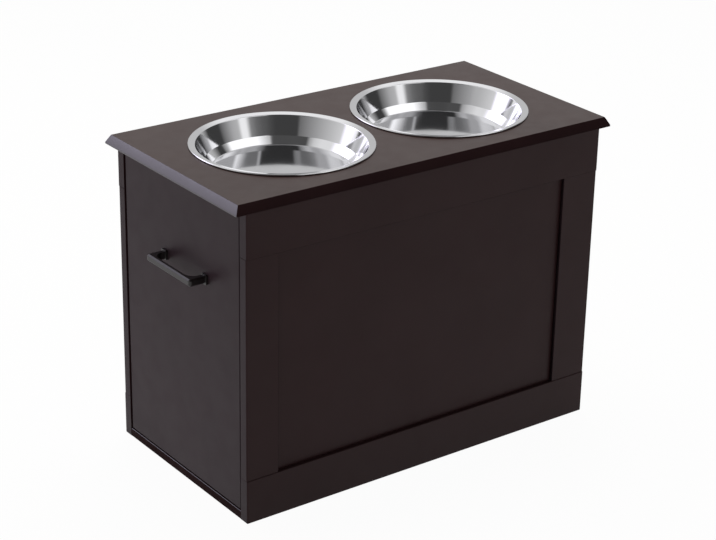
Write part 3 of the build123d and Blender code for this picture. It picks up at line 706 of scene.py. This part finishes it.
def studioWorld(make, v):
    x, y, z = make.split(make.node("ShaderNodeTexCoord"))
    bearing = make.node("ShaderNodeMath", {"operation": "ARCTAN2"}, {0: x, 1: 0.0 - y})
    bearing = make.node("ShaderNodeMath", {"operation": "DEGREES"}, {0: bearing})
    height = make.node("ShaderNodeMath", {"operation": "ARCSINE"}, {0: z})
    height = make.node("ShaderNodeMath", {"operation": "DEGREES"}, {0: height})
    stops = [((angle + 180) / 360, (level, level, level, 1.0)) for angle, level in v["backdrop"]]
    seen = make.node("ShaderNodeValToRGB", {"stops": stops}, {0: (bearing + 180.0) / 360.0})
    for card in v["cards"]:
        fade = card["soft"]
        mask = make.range(height, card["low"] - fade, card["low"] + fade, 0.0, 1.0)
        mask = mask * make.range(height, card["high"] - fade, card["high"] + fade, 1.0, 0.0)
        if card["from"] > -180:
            mask = mask * make.range(bearing, card["from"] - fade, card["from"] + fade, 0.0, 1.0)
        if card["to"] < 180:
            mask = mask * make.range(bearing, card["to"] - fade, card["to"] + fade, 1.0, 0.0)
        shade = [card["level"] * part for part in card.get("tint", (1.0, 1.0, 1.0))]
        seen = make.blend(mask, seen, (*shade, 1.0))
    isCamera, isGlossy, isThrough = seesBackdrop(make)
    soft = make.node("ShaderNodeBackground", {}, {0: studio["white"], 1: studio["ambient"]})
    gloss = make.node("ShaderNodeBackground", {}, {0: seen, 1: 1.0})
    white = make.node("ShaderNodeBackground", {}, {0: studio["white"], 1: 1.0})
    lit = make.node("ShaderNodeMixShader", {}, {0: isGlossy, 1: soft, 2: gloss})
    return make.node("ShaderNodeMixShader", {}, {0: isCamera + isThrough, 1: lit, 2: white})


world = bpy.data.worlds.new("studio")
bpy.context.scene.world = world
world.use_nodes = True
worldMaker = Maker(world.node_tree)
worldMaker.node("ShaderNodeOutputWorld", {}, {"Surface": studioWorld(worldMaker, room)})


# Soft boxes: bearing and height in degrees, distance and size in metres
lamps = {
    "overhead": {"bearing": 160, "height": 66, "distance": 2.5, "size": (2.2, 1.8), "power": 90.0,
                 "colour": (1.0, 0.97, 0.95), "inGloss": False},
    "lowBox": {"bearing": -115, "height": 4, "distance": 2.6, "size": (0.5, 0.5), "power": 10.5,
               "colour": (0.86, 0.82, 1.0), "inGloss": False},
}
lampAim = Vector((0.0, 0.0, 0.3))
for name, lamp in lamps.items():
    light = bpy.data.lights.new(name, "AREA")
    light.shape = "RECTANGLE"
    light.size, light.size_y = lamp["size"]
    light.energy = lamp["power"]
    light.color = lamp["colour"]
    holder = bpy.data.objects.new(name, light)
    bpy.context.scene.collection.objects.link(holder)
    turn, rise = math.radians(lamp["bearing"]), math.radians(lamp["height"])
    away = Vector((math.sin(turn) * math.cos(rise), -math.cos(turn) * math.cos(rise),
                   math.sin(rise)))
    holder.location = lampAim + away * lamp["distance"]
    holder.rotation_euler = away.to_track_quat("Z", "Y").to_euler()
    holder.visible_glossy = lamp["inGloss"]


# Camera: bearing and height in degrees, distance and aim in metres, lens in millimetres
view = {
    "bearing": -36.655, "height": 23.262, "roll": 1.150, "distance": 2.8401,
    "aimRight": -0.0022, "aimUp": 0.2115, "lens": 101.51,
}


def placeCamera(v):
    bearing, height, roll = (math.radians(v[key]) for key in ("bearing", "height", "roll"))
    back = Vector((math.sin(bearing) * math.cos(height), -math.cos(bearing) * math.cos(height),
                   math.sin(height)))
    right = Vector((math.cos(bearing), math.sin(bearing), 0.0))
    up = back.cross(right)
    turnedRight = right * math.cos(roll) + up * math.sin(roll)
    turnedUp = up * math.cos(roll) - right * math.sin(roll)
    camera = bpy.data.objects.new("camera", bpy.data.cameras.new("camera"))
    bpy.context.scene.collection.objects.link(camera)
    camera.data.lens = v["lens"]
    axes = Matrix((turnedRight, turnedUp, back)).transposed().to_4x4()
    axes.translation = back * v["distance"] + right * v["aimRight"] + up * v["aimUp"]
    camera.matrix_world = axes
    bpy.context.scene.camera = camera


placeCamera(view)
bpy.context.scene.view_settings.view_transform = "Standard"
print("studio set")

sizes = {"cad": [list(corner) for corner in cadBounds],
         "visual": [list(corner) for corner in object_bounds()]}
